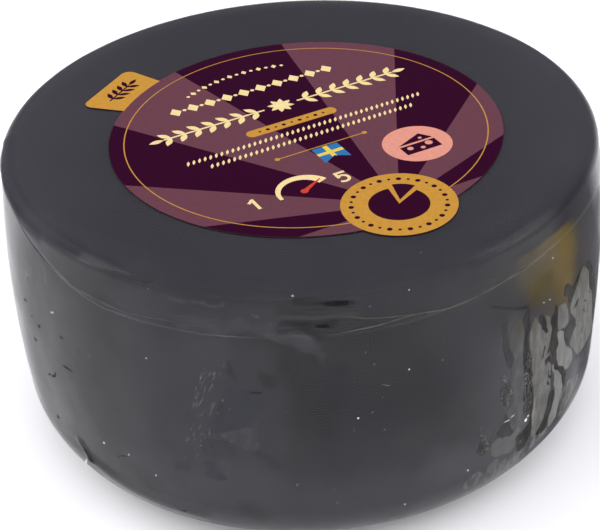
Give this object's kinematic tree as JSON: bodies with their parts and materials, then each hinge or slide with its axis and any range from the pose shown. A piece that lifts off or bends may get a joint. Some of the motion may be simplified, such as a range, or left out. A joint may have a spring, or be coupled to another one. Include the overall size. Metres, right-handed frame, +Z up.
{
  "type": "waxed cheese wheel",
  "caption": "Drum-shaped whole cheese in a dark wax coat and clear shrink film, with a round printed label on top.",
  "frame": {"origin": "centre of the flat base, on the surface the wheel stands on", "axes": "+Z up through the wheel's middle, -Y towards the front, +X to the right seen from the front"},
  "size_m": [0.1705, 0.1699, 0.0891],
  "materials": {
    "wax_under_film": "gloss",
    "printed_label": "satin"
  },
  "bodies": {
    "root": {"wrapped_wheel": "wax_under_film", "label": "printed_label"}
  },
  "joints": []
}
